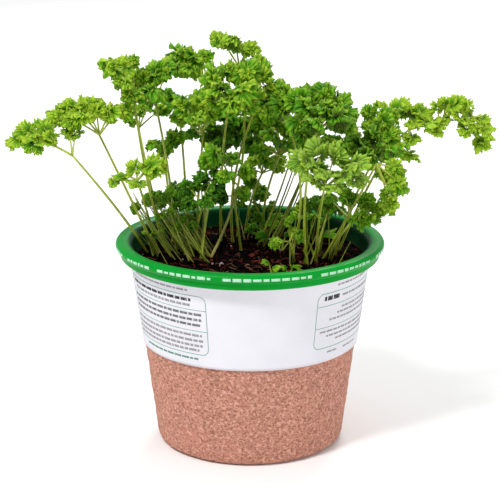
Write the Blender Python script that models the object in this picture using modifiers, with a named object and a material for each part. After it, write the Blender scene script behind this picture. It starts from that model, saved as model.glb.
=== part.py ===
"""Curly parsley growing in a moulded-fibre herb pot with a printed wrap.

Metres, +Z up.  The pot stands on z = 0 with its axis on the Z axis, and the plant's open front faces -Y.
"""

import math

import bmesh
import bpy
from mathutils import Matrix, Vector

MM = 0.001

# ---- driving dimensions -------------------------------------------------------------------------
TURN_STEPS = 36
GAP = 0.3 * MM                    # clearance between a piece and the one it rests on
WRAP_THICKNESS = 0.5 * MM
DRAIN_HOLES = 4
DRAIN_RADIUS = 4.0 * MM
DRAIN_CIRCLE_RADIUS = 24.0 * MM
SOIL_MIDDLE = 91.0 * MM           # height of the soil surface on the axis
SOIL_EDGE_DROP = 1.4 * MM         # how much lower it lies beside the wall
SOIL_RINGS = [0.35, 0.7, 1.0]     # where the dome's rings lie, as shares of its radius

# The wrap's printed face in (radius, height) mm: up the inside of the lip from below the soil's edge,
# over the lip, round the bead, down the skirt, in under the lip and down the wall.
WRAP_FACE = [
    (53.5, 88.2), (55.0, 92.4), (56.0, 96.3), (58.0, 98.0), (60.4, 98.4), (62.8, 97.9), (63.6, 96.3), (62.9, 94.5),
    (61.6, 93.8), (61.3, 91.2), (60.2, 90.6), (57.4, 90.3), (56.9, 89.2), (51.3, 49.5),
]
# The bare fibre wall and foot below the wrap, and the inside from the floor up to the wrap's edge.
BARE_WALL = [(44.7, 4.2), (44.0, 1.6), (41.8, 0.0), (0.0, 0.0)]
INSIDE_WALL = [(0.0, 4.0), (39.0, 4.0), (41.5, 6.5), (53.0, 87.4)]
# The soil's side, GAP or more inside the pot and the wrap, up to the edge of its dome.
SOIL_SIDE = [(38.8, 4.3), (41.1, 7.0), (52.6, 87.4), (53.1, 88.2), (53.6, 89.7)]

# ---- plant --------------------------------------------------------------------------------------
STALK_BASE_RADIUS = 1.05 * MM
STALK_TOP_RADIUS = 0.7 * MM
STALK_POINTS = 6
STALKLET_RADIUS = 0.5 * MM
HUB_RADIUS = 0.9 * MM
TUFT_THICKNESS = 2.6 * MM
TUFT_LENGTH_RATIO = 0.92          # a tuft's length over its breadth
TUFT_DROOP = 0.12                 # how far the margin hangs, over the breadth
TUFT_SIDES = 6
TUFT_OUTLINE = [(0.3, 0.42, 0.4), (0.65, 0.5, 0.5), (0.92, 0.3, 0.4)]
FACE_UP = Vector((0.0, -0.35, 0.85))      # blades face up and a little to the front
FACE_OUT = 0.3                            # and away from the pot's axis

# The planting plan, in whole mm.  Every leaf grows from its root on the soil, bends at its knee and
# carries its blade on the fork.  A tuft is the middle of one curled leaflet and its breadth; a fifth
# number says which point of the rachis bears it, counted from the fork.
LEAVES = {
    "far_left": {
        "root": (-48, 3), "knee": (-58, -20, 114), "fork": (-80, -30, 145),
        "tufts": [(-103, -34, 150, 15), (-94, -27, 156, 14), (-96, -43, 149, 9), (-81, -22, 157, 9)],
    },
    "left": {
        "root": (-43, -2), "knee": (-58, -18, 129), "fork": (-69, -14, 151),
        "tufts": [(-86, -20, 165, 13), (-80, -8, 162, 15), (-69, -20, 165, 15), (-76, -29, 160, 9)],
    },
    "upper_left": {
        "root": (-39, 1), "knee": (-48, -12, 130), "fork": (-53, -8, 166),
        "tufts": [(-61, -12, 182, 19), (-53, 2, 183, 9), (-56, -20, 174, 11)],
    },
    "left_behind": {
        "root": (-40, 8), "knee": (-47, 12, 121), "fork": (-54, 34, 144),
        "tufts": [(-64, 34, 151, 11), (-60, 48, 154, 9), (-52, 40, 154, 11)],
    },
    "upper_left_inner": {
        "root": (-35, 8), "knee": (-38, 2, 126), "fork": (-44, 4, 162),
        "tufts": [(-47, 8, 177, 15), (-46, -7, 170, 12), (-43, 17, 168, 10)],
    },
    "pointed_left": {
        "root": (-45, 13), "knee": (-48, -8, 111), "fork": (-51, -28, 133),
        "tufts": [(-61, -36, 137, 9), (-56, -23, 138, 10), (-45, -30, 139, 14), (-47, -41, 134, 8)],
    },
    "dark_mid_left": {
        "root": (-34, 13), "knee": (-38, 20, 111), "fork": (-42, 38, 129),
        "tufts": [(-47, 34, 134, 9), (-38, 46, 135, 13), (-45, 52, 136, 8)],
    },
    "dark_back_left": {
        "root": (-30, 17), "knee": (-32, 34, 118), "fork": (-35, 62, 142),
        "tufts": [(-43, 66, 147, 11), (-37, 73, 153, 11), (-31, 55, 150, 11)],
    },
    "crown_left": {
        "root": (-23, 8), "knee": (-21, 22, 136), "fork": (-21, 38, 165),
        "tufts": [(-34, 34, 176, 18), (-25, 46, 177, 17), (-16, 36, 174, 9)],
    },
    "inner_left": {
        "root": (-26, 13), "knee": (-24, 8, 119), "fork": (-22, 4, 147),
        "tufts": [(-30, 0, 159, 14), (-21, 11, 157, 15), (-17, -5, 153, 10)],
    },
    "low_left_dark": {
        "root": (-29, 7), "knee": (-25, -2, 104), "fork": (-22, -6, 116),
        "tufts": [(-29, -1, 127, 11), (-21, -4, 125, 11), (-15, -14, 124, 9), (-28, -15, 122, 9)],
    },
    "low_left_shoot": {
        "root": (-38, 18), "knee": (-37, 24, 100), "fork": (-38, 28, 106),
        "tufts": [(-46, 31, 110, 9), (-39, 38, 113, 9), (-34, 37, 109, 7)],
    },
    "crown": {
        "root": (-19, -8), "knee": (-8, -1, 115), "fork": (-5, 10, 178),
        "tufts": [(-13, 17, 188, 13), (-6, 4, 190, 12), (2, 18, 184, 12)],
    },
    "crown_front": {
        "root": (-14, 18), "knee": (-13, 0, 136), "fork": (-10, -14, 162),
        "tufts": [(-17, -18, 173, 13), (-11, -6, 180, 15), (-2, -23, 175, 14), (-10, -31, 170, 14)],
    },
    "crown_right": {
        "root": (-8, 13), "knee": (-9, 6, 116), "fork": (4, 4, 162),
        "tufts": [(4, 12, 175, 12), (13, 4, 173, 11), (1, -6, 169, 9)],
    },
    "centre_dark": {
        "root": (-23, -11), "knee": (-21, -4, 108), "fork": (-14, 28, 132),
        "tufts": [(-15, 36, 146, 15), (-7, 46, 146, 15), (-10, 18, 141, 14), (-3, 30, 138, 9)],
    },
    "centre_low": {
        "root": (-4, 4), "knee": (-7, -4, 110), "fork": (-8, -12, 129),
        "tufts": [(-20, -18, 142, 10), (-10, -22, 139, 13), (-1, -11, 135, 9), (-25, -4, 148, 8)],
    },
    "yellow": {
        "root": (-2, 36), "knee": (0, 32, 108), "fork": (6, 36, 121),
        "tufts": [(3, 43, 127, 10), (12, 31, 129, 11)],
    },
    "back_low": {
        "root": (5, 43), "knee": (4, 41, 98), "fork": (2, 38, 105),
        "tufts": [(-4, 40, 110, 10), (6, 44, 110, 10)],
    },
    "right_inner": {
        "root": (9, 38), "knee": (8, 14, 114), "fork": (14, 10, 136),
        "tufts": [(1, 14, 146, 13), (8, 25, 147, 15), (20, 21, 147, 14), (27, 12, 142, 12), (16, -3, 144, 13),
                  (6, 1, 142, 10)],
    },
    "right_upper": {
        "root": (19, -6), "knee": (23, -14, 118), "fork": (18, -8, 155),
        "tufts": [(11, -3, 166, 12), (21, -14, 168, 13)],
    },
    "right_broad": {
        "root": (27, -18), "knee": (25, -22, 122), "fork": (30, -22, 154),
        "tufts": [(29, -27, 173, 17), (38, -16, 169, 16), (44, -29, 164, 14), (34, -41, 164, 14),
                  (23, -35, 164, 11)],
    },
    "pale": {
        "root": (31, -12), "knee": (32, -34, 120), "fork": (33, -44, 133),
        "tufts": [(26, -50, 144, 13), (33, -41, 145, 11), (42, -50, 145, 14), (47, -59, 143, 9)],
    },
    "right_dark": {
        "root": (40, 0), "knee": (48, -6, 116), "fork": (57, 2, 133),
        "tufts": [(48, -1, 145, 13), (57, -10, 147, 14), (58, 12, 154, 12), (66, 6, 141, 12), (50, -14, 139, 11)],
    },
    "right_low": {
        "root": (38, -7), "knee": (41, -26, 105), "fork": (46, -30, 114),
        "tufts": [(42, -25, 124, 10), (51, -21, 122, 10), (52, -41, 118, 13), (60, -30, 121, 10)],
    },
    "right_droop": {
        "root": (34, -6), "knee": (46, -26, 118), "fork": (57, -30, 141),
        "tufts": [(64, -31, 142, 13), (66, -41, 135, 12), (63, -47, 127, 10)],
    },
    "far_right": {
        "root": (42, 7), "knee": (56, 12, 118), "fork": (69, 30, 137),
        "rachis": [(77, 34, 143), (87, 38, 145), (92, 40, 147)],
        "tufts": [(70, 24, 157, 12, 0), (78, 22, 136, 9, 0), (80, 47, 152, 13, 1), (86, 30, 154, 12, 2),
                  (90, 29, 142, 8, 3), (93, 52, 152, 8, 3)],
    },
    "sprout": {
        "root": (20, -12), "knee": (19, -27, 100), "fork": (18, -28, 104),
        "tufts": [(12, -34, 106, 7), (21, -21, 107, 8)],
    },
}
# The outermost leaflets of the far right leaf hang from its rachis end as a blade of their own.
OUTER_BLADE = {
    "fork": (95, 42, 148),
    "rachis": [(102, 44, 150), (109, 44, 147)],
    "tufts": [(98, 36, 157, 9, 0), (106, 54, 150, 12, 1), (108, 36, 145, 11, 2), (114, 51, 147, 9, 2),
              (113, 42, 136, 11, 2)],
}

COLOURS = {
    "fibre": ((0.57, 0.29, 0.21), 0.95),
    "paper": ((0.82, 0.82, 0.85), 0.6),
    "soil": ((0.03, 0.015, 0.01), 1.0),
    "stalk": ((0.30, 0.42, 0.06), 0.5),
    "leaf": ((0.12, 0.33, 0.03), 0.55),
}


# ---- scene --------------------------------------------------------------------------------------
def clear_scene():
    for thing in list(bpy.data.objects):
        bpy.data.objects.remove(thing, do_unlink=True)


def new_collection(name):
    collection = bpy.data.collections.new(name)
    bpy.context.scene.collection.children.link(collection)
    return collection


def make_material(name, look):
    colour, roughness = COLOURS[look]
    material = bpy.data.materials.new(name)
    material.use_nodes = True
    shader = material.node_tree.nodes["Principled BSDF"]
    shader.inputs["Base Color"].default_value = (*colour, 1.0)
    shader.inputs["Roughness"].default_value = roughness
    material.diffuse_color = (*colour, 1.0)
    return material


def add_object(name, data, collection, look=None):
    thing = bpy.data.objects.new(name, data)
    collection.objects.link(thing)
    if look:
        data.materials.append(make_material(name, look))
    return thing


def mesh_from_bmesh(name, bm):
    mesh = bpy.data.meshes.new(name)
    bm.to_mesh(mesh)
    bm.free()
    return mesh


def millimetres(point):
    return Vector(point) * MM


# ---- turned pieces ------------------------------------------------------------------------------
def inset_outline(outline, distance):
    """The outline moved to its right-hand side by distance, both in mm."""
    moved = []
    for i, (r, z) in enumerate(outline):
        r0, z0 = outline[max(i - 1, 0)]
        r1, z1 = outline[min(i + 1, len(outline) - 1)]
        length = math.hypot(r1 - r0, z1 - z0)
        moved.append((r + distance * (z1 - z0) / length, z - distance * (r1 - r0) / length))
    return moved


def turn(name, outline, collection, look, closed=False):
    bm = bmesh.new()
    ring = [bm.verts.new((r * MM, 0.0, z * MM)) for r, z in outline]
    for a, b in zip(ring, ring[1:]):
        bm.edges.new((a, b))
    if closed:
        bm.edges.new((ring[-1], ring[0]))
    thing = add_object(name, mesh_from_bmesh(name, bm), collection, look)
    screw = thing.modifiers.new("Turn", "SCREW")
    screw.axis = "Z"
    screw.steps = TURN_STEPS
    screw.render_steps = TURN_STEPS
    screw.use_merge_vertices = True
    screw.merge_threshold = 0.00002
    screw.use_smooth_shade = True
    return thing


def make_drain_cutters(collection):
    cutters = []
    for i in range(DRAIN_HOLES):
        angle = math.pi / DRAIN_HOLES + 2 * math.pi * i / DRAIN_HOLES
        place = (DRAIN_CIRCLE_RADIUS * math.cos(angle), DRAIN_CIRCLE_RADIUS * math.sin(angle), 2.0 * MM)
        bm = bmesh.new()
        bmesh.ops.create_cone(bm, cap_ends=True, segments=12, radius1=DRAIN_RADIUS, radius2=DRAIN_RADIUS,
                              depth=8.0 * MM, matrix=Matrix.Translation(place))
        cutter = add_object(f"drain_cutter_{i + 1}", mesh_from_bmesh("drain_cutter", bm), collection)
        cutter.hide_render = True
        cutter.display_type = "WIRE"
        cutters.append(cutter)
    return cutters


def make_pot(parts, cutters):
    under_wrap = inset_outline(WRAP_FACE, WRAP_THICKNESS / MM + GAP / MM)
    pot = turn("pot", INSIDE_WALL + under_wrap + BARE_WALL, parts, "fibre")
    for cutter in make_drain_cutters(cutters):
        cut = pot.modifiers.new(cutter.name, "BOOLEAN")
        cut.operation = "DIFFERENCE"
        cut.object = cutter
    return pot


def make_wrap(parts):
    back = inset_outline(WRAP_FACE, WRAP_THICKNESS / MM)
    return turn("printed_wrap", WRAP_FACE + back[::-1], parts, "paper", closed=True)


def soil_height(radius):
    """Height of the soil's shallow dome at a radius, both in metres."""
    share = radius / (SOIL_SIDE[-1][0] * MM)
    return SOIL_MIDDLE - SOIL_EDGE_DROP * share ** 2


def make_soil(parts):
    """Fills the pot from just above its floor to the dome."""
    edge = SOIL_SIDE[-1][0]
    dome = [(edge * share, soil_height(edge * share * MM) / MM) for share in SOIL_RINGS]
    outline = [(0.0, SOIL_MIDDLE / MM)] + dome + SOIL_SIDE[-2::-1] + [(0.0, SOIL_SIDE[0][1])]
    return turn("soil", outline, parts, "soil")


# ---- leaves -------------------------------------------------------------------------------------
def root_point(leaf):
    """Where a leaf's stalk meets the soil's surface."""
    x, y = (value * MM for value in leaf["root"])
    return Vector((x, y, soil_height(math.hypot(x, y))))


def bend(start, knee, end, count):
    """Points on the parabola that leaves start, passes the knee and ends at end."""
    share = (knee - start).length / ((knee - start).length + (end - knee).length)
    pull = (knee - start * (1 - share) ** 2 - end * share ** 2) / (2 * share * (1 - share))
    steps = [i / (count - 1) for i in range(count)]
    return [start * (1 - t) ** 2 + pull * (2 * t * (1 - t)) + end * t ** 2 for t in steps]


def make_stalk(name, leaf, parts):
    """A tapered tube from GAP above the soil to just short of the blade's hub."""
    fork = millimetres(leaf["fork"])
    path = bend(root_point(leaf), millimetres(leaf["knee"]), fork, STALK_POINTS)
    first = (path[1] - path[0]).normalized()
    path[0].z += GAP + STALK_BASE_RADIUS * math.hypot(first.x, first.y)
    last = (path[-1] - path[-2]).normalized()
    path[-1] = fork - last * (HUB_RADIUS + GAP)
    curve = bpy.data.curves.new(name, "CURVE")
    curve.dimensions = "3D"
    curve.bevel_depth = STALK_BASE_RADIUS
    curve.bevel_resolution = 1
    curve.use_fill_caps = True
    spline = curve.splines.new("POLY")
    spline.points.add(len(path) - 1)
    for i, place in enumerate(path):
        along = i / (len(path) - 1)
        spline.points[i].co = (*place, 1.0)
        spline.points[i].radius = 1.0 - along * (1.0 - STALK_TOP_RADIUS / STALK_BASE_RADIUS)
    return add_object(name, curve, parts, "stalk")


def tube_mesh(start, end, radius):
    bm = bmesh.new()
    span = end - start
    turned = span.to_track_quat("Z", "Y").to_matrix().to_4x4()
    place = Matrix.Translation((start + end) * 0.5) @ turned
    bmesh.ops.create_cone(bm, cap_ends=True, segments=6, radius1=radius, radius2=radius,
                          depth=span.length, matrix=place)
    return mesh_from_bmesh("tube", bm)


def tuft_frame(middle, support):
    """Axes of a tuft: across it, out of its upper face, and along it."""
    outward = Vector((middle.x, middle.y, 0.0)).normalized()
    along = (middle - support).normalized()
    face = FACE_UP + outward * FACE_OUT
    face = (face - along * face.dot(along)).normalized()
    return Matrix((face.cross(along), face, along)).transposed()


def tuft_stations(reach, breadth):
    """(distance, half breadth, half thickness) along a tuft: its stalklet, then its flat end."""
    length = breadth * TUFT_LENGTH_RATIO
    neck = max(reach - length * 0.5, HUB_RADIUS)
    span = reach + length * 0.5 - neck
    flat = [(neck + span * at, breadth * wide, TUFT_THICKNESS * thick) for at, wide, thick in TUFT_OUTLINE]
    return [(0.0, 0.0, 0.0), (0.0, STALKLET_RADIUS, STALKLET_RADIUS), (neck, STALKLET_RADIUS, STALKLET_RADIUS),
            *flat, (neck + span, 0.0, 0.0)]


def tuft_mesh(middle, support, breadth):
    """A ball drawn out into a stalklet and a flat end: the stand-in for one curled leaflet."""
    bm = bmesh.new()
    bmesh.ops.create_uvsphere(bm, u_segments=TUFT_SIDES, v_segments=6, radius=1.0)
    reach = (middle - support).length
    stations = tuft_stations(reach, breadth)
    axes = tuft_frame(middle, support)
    for vert in bm.verts:
        ring = round(math.acos(max(-1.0, min(1.0, vert.co.z))) / (math.pi / 6))
        distance, wide, thick = stations[ring]
        around = Vector((vert.co.x, vert.co.y))
        if around.length > 0.001:
            around.normalize()
        spread = Vector((around.x * wide, distance - reach)).length_squared / breadth ** 2
        droop = TUFT_DROOP * breadth * min(spread * 4.0, 1.4) if ring > 2 else 0.0
        vert.co = support + axes @ Vector((around.x * wide, around.y * thick - droop, distance))
    bmesh.ops.recalc_face_normals(bm, faces=bm.faces)
    return mesh_from_bmesh("tuft", bm)


def hub_mesh(place, radius):
    bm = bmesh.new()
    bmesh.ops.create_icosphere(bm, subdivisions=1, radius=radius, matrix=Matrix.Translation(place))
    return mesh_from_bmesh("hub", bm)


def blade_pieces(leaf):
    """Meshes of the hub, the rachis, the stalklets and the tufts of one blade."""
    supports = [millimetres(p) for p in [leaf["fork"]] + leaf.get("rachis", [])]
    pieces = [hub_mesh(supports[0], HUB_RADIUS)]
    for start, end in zip(supports, supports[1:]):
        pieces.append(tube_mesh(start, end, STALKLET_RADIUS * 1.2))
        pieces.append(hub_mesh(end, STALKLET_RADIUS * 1.5))
    for tuft in leaf["tufts"]:
        support = supports[tuft[4] if len(tuft) > 4 else 0]
        middle = millimetres(tuft[:3])
        breadth = tuft[3] * MM
        pieces.append(tuft_mesh(middle, support, breadth))
    return pieces


def union(name, meshes, collection, look):
    """One closed body from overlapping closed meshes."""
    body = add_object(name, meshes[0], collection)
    helpers = []
    for i, mesh in enumerate(meshes[1:]):
        helper = add_object(f"{name}_{i}", mesh, collection)
        join = body.modifiers.new(helper.name, "BOOLEAN")
        join.operation = "UNION"
        join.object = helper
        helpers.append(helper)
    bpy.context.view_layer.update()
    evaluated = body.evaluated_get(bpy.context.evaluated_depsgraph_get())
    joined = bpy.data.meshes.new_from_object(evaluated)
    body.modifiers.clear()
    body.data = joined
    joined.materials.clear()
    joined.materials.append(make_material(name, look))
    for helper in helpers:
        bpy.data.objects.remove(helper, do_unlink=True)
    return body


def make_leaves(parts):
    for name, leaf in LEAVES.items():
        make_stalk(f"{name}_stalk", leaf, parts)
        union(f"{name}_blade", blade_pieces(leaf), parts, "leaf")
    union("outer_right_blade", blade_pieces(OUTER_BLADE), parts, "leaf")


def main():
    clear_scene()
    parts = new_collection("potted_parsley")
    cutters = new_collection("cutters")
    make_pot(parts, cutters)
    make_wrap(parts)
    make_soil(parts)
    make_leaves(parts)


main()
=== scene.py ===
import math

import bpy
import numpy as np
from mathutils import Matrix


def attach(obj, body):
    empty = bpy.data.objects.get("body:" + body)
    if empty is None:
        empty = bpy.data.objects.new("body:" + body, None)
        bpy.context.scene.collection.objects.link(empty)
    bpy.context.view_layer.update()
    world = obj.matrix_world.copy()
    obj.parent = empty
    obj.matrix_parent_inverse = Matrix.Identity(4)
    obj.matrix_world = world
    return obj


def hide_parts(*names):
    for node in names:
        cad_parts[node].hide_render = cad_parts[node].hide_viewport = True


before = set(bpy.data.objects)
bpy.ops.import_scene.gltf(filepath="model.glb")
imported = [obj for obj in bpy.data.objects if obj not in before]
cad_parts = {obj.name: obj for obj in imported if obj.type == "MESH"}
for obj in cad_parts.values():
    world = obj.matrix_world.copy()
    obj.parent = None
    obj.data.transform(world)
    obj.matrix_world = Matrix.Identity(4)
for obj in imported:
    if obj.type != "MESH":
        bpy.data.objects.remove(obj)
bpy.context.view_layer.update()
mm = 0.001


# ---- mesh helpers

# a mesh object from whole arrays: points in metres, faces as quads and triangles
def meshPiece(name, points, faces, materials, uv=None, tone=None, smooth=True):
    mesh = bpy.data.meshes.new(name)
    mesh.from_pydata(points.tolist(), [], [f for block in faces for f in block.tolist()])
    loops = np.empty(len(mesh.loops), dtype=np.int32)
    mesh.loops.foreach_get("vertex_index", loops)
    if uv is not None:
        layer = mesh.uv_layers.new(name="across")
        layer.data.foreach_set("uv", uv[loops].astype(np.float32).ravel())
    if tone is not None:
        shade = mesh.color_attributes.new(name="tone", type="FLOAT_COLOR", domain="POINT")
        shade.data.foreach_set("color", tone.astype(np.float32).ravel())
    mesh.polygons.foreach_set("use_smooth", np.full(len(mesh.polygons), smooth))
    for material in materials:
        mesh.materials.append(material)
    mesh.update()
    piece = bpy.data.objects.new(name, mesh)
    bpy.context.scene.collection.objects.link(piece)
    return piece


# every piece rides on the one body, and stands in for its node if it has one
def settle(piece, node=None):
    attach(piece, "root")
    if node:
        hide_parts(node)


# gives a sheet of faces its thickness, inwards; the second material goes on the under side
def thicken(piece, thickness, under=0):
    shell = piece.modifiers.new("thickness", "SOLIDIFY")
    shell.thickness = thickness * mm
    shell.offset = -1.0
    shell.material_offset = under


# quads of a grid of rows x columns points; round joins the last column to the first
def gridFaces(rows, columns, round=False, first=0):
    wide = columns if round else columns - 1
    r, c = np.meshgrid(np.arange(rows - 1), np.arange(wide), indexing="ij")
    a = r * columns + c
    b = r * columns + (c + 1) % columns
    return first + np.stack([a, b, b + columns, a + columns], axis=-1).reshape(-1, 4)


# triangles from one ring of points to a pole
def poleFaces(ring, pole, turned=False):
    after = np.roll(ring, -1)
    order = [after, ring] if turned else [ring, after]
    return np.stack([*order, np.full(len(ring), pole)], axis=-1)


def unit(v):
    return v / np.maximum(np.linalg.norm(v, axis=-1, keepdims=True), 1e-9)


# turns rows of vectors about rows of unit axes by rows of angles
def spun(vector, axis, angle):
    c, s = np.cos(angle)[:, None], np.sin(angle)[:, None]
    return vector * c + np.cross(axis, vector) * s + axis * (axis * vector).sum(1, keepdims=True) * (1 - c)


# a smooth outline through the given corners: Hermite pieces whose slopes follow the shorter neighbour
def smoothOutline(corners, perPiece):
    longest = 1.2  # mm that one straight piece may span
    c = np.array(corners, float)
    step = np.diff(c, axis=0)
    size = np.linalg.norm(step, axis=1)
    ahead = step / size[:, None]
    lean = unit(np.vstack([ahead[:1], ahead[1:] + ahead[:-1], ahead[-1:]]))
    near = np.concatenate([size[:1], np.minimum(size[1:], size[:-1]), size[-1:]])
    slope = lean * near[:, None]
    out = []
    for i in range(len(step)):
        count = max(perPiece, int(size[i] / longest))
        t = np.linspace(0, 1, count, endpoint=False)[:, None]
        out.append((2 * t**3 - 3 * t**2 + 1) * c[i] + (t**3 - 2 * t**2 + t) * slope[i]
                   + (3 * t**2 - 2 * t**3) * c[i + 1] + (t**3 - t**2) * slope[i + 1])
    return np.vstack(out + [c[-1:]])


# lumps: sum of sines along ten random directions, repeatable, about -1 to 1; wave in radians per mm
def lumps(x, y, z, wave, seed):
    draw = np.random.default_rng(seed)
    count = 10
    total = np.zeros_like(x)
    for _ in range(count):
        way = draw.normal(size=3)
        way *= draw.uniform(0.6, 1.5) / np.linalg.norm(way)
        phase = draw.uniform(0, 6.3)
        total = total + np.sin(x * wave * way[0] + y * wave * way[1] + z * wave * way[2] + phase)
    return total / math.sqrt(count)


def darker(colour, share):
    return tuple(v * share for v in colour)


# ---- material helpers

class Nodes:
    # a short way to add nodes to one material
    def __init__(self, name):
        self.material = bpy.data.materials.new(name)
        self.material.use_nodes = True
        self.tree = self.material.node_tree
        self.shader = self.tree.nodes["Principled BSDF"]
        self.output = self.tree.nodes["Material Output"]
        self.place = self.add("ShaderNodeTexCoord").outputs["Object"]

    def add(self, kind, **settings):
        node = self.tree.nodes.new(kind)
        for key, value in settings.items():
            setattr(node, key, value)
        return node

    def join(self, source, target):
        self.tree.links.new(source, target)

    def feed(self, socket, value):
        if isinstance(value, bpy.types.NodeSocket):
            self.join(value, socket)
        else:
            socket.default_value = value

    def stretched(self, scale, turn=(0.0, 0.0, 0.0)):
        node = self.add("ShaderNodeMapping")
        self.join(self.place, node.inputs["Vector"])
        node.inputs["Scale"].default_value = scale
        node.inputs["Rotation"].default_value = turn
        return node.outputs["Vector"]

    def noise(self, scale, detail=3.0, rough=0.5, warp=0.0, vector=None):
        node = self.add("ShaderNodeTexNoise")
        self.join(self.place if vector is None else vector, node.inputs["Vector"])
        node.inputs["Scale"].default_value = scale
        node.inputs["Detail"].default_value = detail
        node.inputs["Roughness"].default_value = rough
        node.inputs["Distortion"].default_value = warp
        return node.outputs["Fac"]

    def cells(self, scale):
        node = self.add("ShaderNodeTexVoronoi")
        self.join(self.place, node.inputs["Vector"])
        node.inputs["Scale"].default_value = scale
        return node.outputs["Distance"]

    def maths(self, how, a, b=0.0, clamp=False):
        node = self.add("ShaderNodeMath", operation=how, use_clamp=clamp)
        for socket, value in zip(node.inputs, (a, b)):
            self.feed(socket, value)
        return node.outputs[0]

    def between(self, value, low, high, toLow=0.0, toHigh=1.0):
        node = self.add("ShaderNodeMapRange", interpolation_type="SMOOTHSTEP")
        self.feed(node.inputs["Value"], value)
        for key, number in (("From Min", low), ("From Max", high), ("To Min", toLow), ("To Max", toHigh)):
            node.inputs[key].default_value = number
        return node.outputs["Result"]

    def blend(self, share, a, b):
        node = self.add("ShaderNodeMix", data_type="RGBA")
        colours = [s for s in node.inputs if s.type == "RGBA"]
        self.feed(node.inputs["Factor"], share)
        for socket, value in zip(colours, (a, b)):
            self.feed(socket, value if isinstance(value, bpy.types.NodeSocket) else (*value, 1.0))
        return [s for s in node.outputs if s.type == "RGBA"][0]

    def attribute(self, name):
        return self.add("ShaderNodeAttribute", attribute_name=name).outputs["Color"]

    def across(self):
        return self.add("ShaderNodeUVMap", uv_map="across").outputs["UV"]

    def parts(self, colour):
        node = self.add("ShaderNodeSeparateColor")
        self.join(colour, node.inputs[0])
        return node.outputs

    def axes(self, vector):
        node = self.add("ShaderNodeSeparateXYZ")
        self.join(vector, node.inputs[0])
        return node.outputs

    def relief(self, height, depth, strength=1.0, under=None):
        node = self.add("ShaderNodeBump")
        node.inputs["Strength"].default_value = strength
        node.inputs["Distance"].default_value = depth
        self.join(height, node.inputs["Height"])
        if under is not None:
            self.join(under, node.inputs["Normal"])
        return node.outputs["Normal"]

    def finish(self, colour, roughness, normal=None, specular=0.5):
        self.feed(self.shader.inputs["Base Color"], colour)
        self.feed(self.shader.inputs["Roughness"], roughness)
        self.shader.inputs["Specular IOR Level"].default_value = specular
        if normal is not None:
            self.join(normal, self.shader.inputs["Normal"])
        return self.material

    # lets light through a thin piece: the shader mixed with a translucent one
    def glowThrough(self, colour, share):
        through = self.add("ShaderNodeBsdfTranslucent")
        self.feed(through.inputs["Color"], colour)
        mixer = self.add("ShaderNodeMixShader")
        mixer.inputs[0].default_value = share
        self.join(self.shader.outputs[0], mixer.inputs[1])
        self.join(through.outputs[0], mixer.inputs[2])
        self.join(mixer.outputs[0], self.output.inputs["Surface"])


# ---- pot: moulded fibre, bare below the wrap

# outlines are radius and height in mm
pot = {
    "floor": 4.0,
    "flatRings": (2.0, 12.0, 20.0, 28.0, 34.0),
    "inside": [(39.0, 4.0), (41.5, 6.5), (53.0, 87.4)],
    "rolledLip": [(54.2, 88.0), (55.8, 92.7), (56.7, 95.9), (58.2, 97.2), (60.3, 97.6), (62.2, 97.1),
                  (62.8, 96.1), (62.2, 94.9), (60.9, 94.4), (60.6, 91.7), (59.7, 91.4), (56.9, 91.1),
                  (56.1, 89.4)],
    "wall": [(50.5, 49.5), (44.7, 4.2), (44.0, 1.6), (41.8, 0.0)],
    "around": 220,
    "grainDepth": 0.16,
    "bareBelow": 52.0,
    "drainRadius": 4.0,
    "drainCircle": 24.0,
    "fibre": (0.56, 0.250, 0.178),
    "paleFibre": (0.77, 0.415, 0.305),
    "darkFibre": (0.25, 0.092, 0.062),
}


# fibre surface: two layers of stretched strands and two of coarse flakes, over and under the middle brown
def fibreMaterial():
    n = Nodes("mouldedFibre")
    fibre, pale, dark = pot["fibre"], pot["paleFibre"], pot["darkFibre"]
    cloud = n.noise(70, 4, 0.6)
    fine = n.noise(900, 4, 0.7)
    grain = n.noise(420, 3, 0.6, 1.2)
    strands = n.noise(260, 3, 0.7, 2.5, n.stretched((1.0, 1.0, 3.2), (0.5, 0.3, 0.2)))
    crossing = n.noise(240, 3, 0.7, 2.5, n.stretched((2.6, 0.8, 1.0), (0.2, 0.9, 1.1)))
    flakes = n.noise(700, 2, 0.5, 0.6)
    darkFlakes = n.noise(780, 2, 0.5, 0.6, n.stretched((1.0, 1.0, 1.3), (0.4, 0.7, 0.2)))
    base = n.blend(n.between(cloud, 0.35, 0.65), fibre, darker(fibre, 0.86))
    # each layer: where it starts and is full, how much it covers, its colour
    layers = [(strands, 0.52, 0.64, 0.6, pale), (crossing, 0.54, 0.66, 0.6, darker(fibre, 0.58)),
              (flakes, 0.50, 0.62, 0.75, pale), (darkFlakes, 0.52, 0.62, 0.72, dark),
              (grain, 0.60, 0.72, 0.7, dark), (fine, 0.58, 0.72, 0.5, pale)]
    for layer, low, high, most, colour in layers:
        base = n.blend(n.between(layer, low, high, 0.0, most), base, colour)
    base = n.blend(n.between(n.cells(330), 0.10, 0.20, 0.55, 0.0), base, dark)
    bumpy = n.relief(grain, 0.35 * mm)
    bumpy = n.relief(strands, 0.5 * mm, 0.8, bumpy)
    bumpy = n.relief(fine, 0.15 * mm, 0.7, bumpy)
    return n.finish(base, n.between(fine, 0.3, 0.7, 0.82, 0.97), bumpy, 0.25)


# turned wall: point(s, a) = (r(s) cos a, r(s) sin a, z(s)), r and z along the outline, pushed outwards by
# push(point)
def turned(outline, around, push=None):
    a = np.linspace(0, 2 * math.pi, around, endpoint=False)
    r, z = outline[:, 0][:, None], outline[:, 1][:, None]
    x, y, height = r * np.cos(a), r * np.sin(a), z + 0 * a
    if push is not None:
        away = push(x, y, height)
        x, y = x + away * np.cos(a), y + away * np.sin(a)
    return np.stack([x, y, height], axis=-1)


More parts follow.
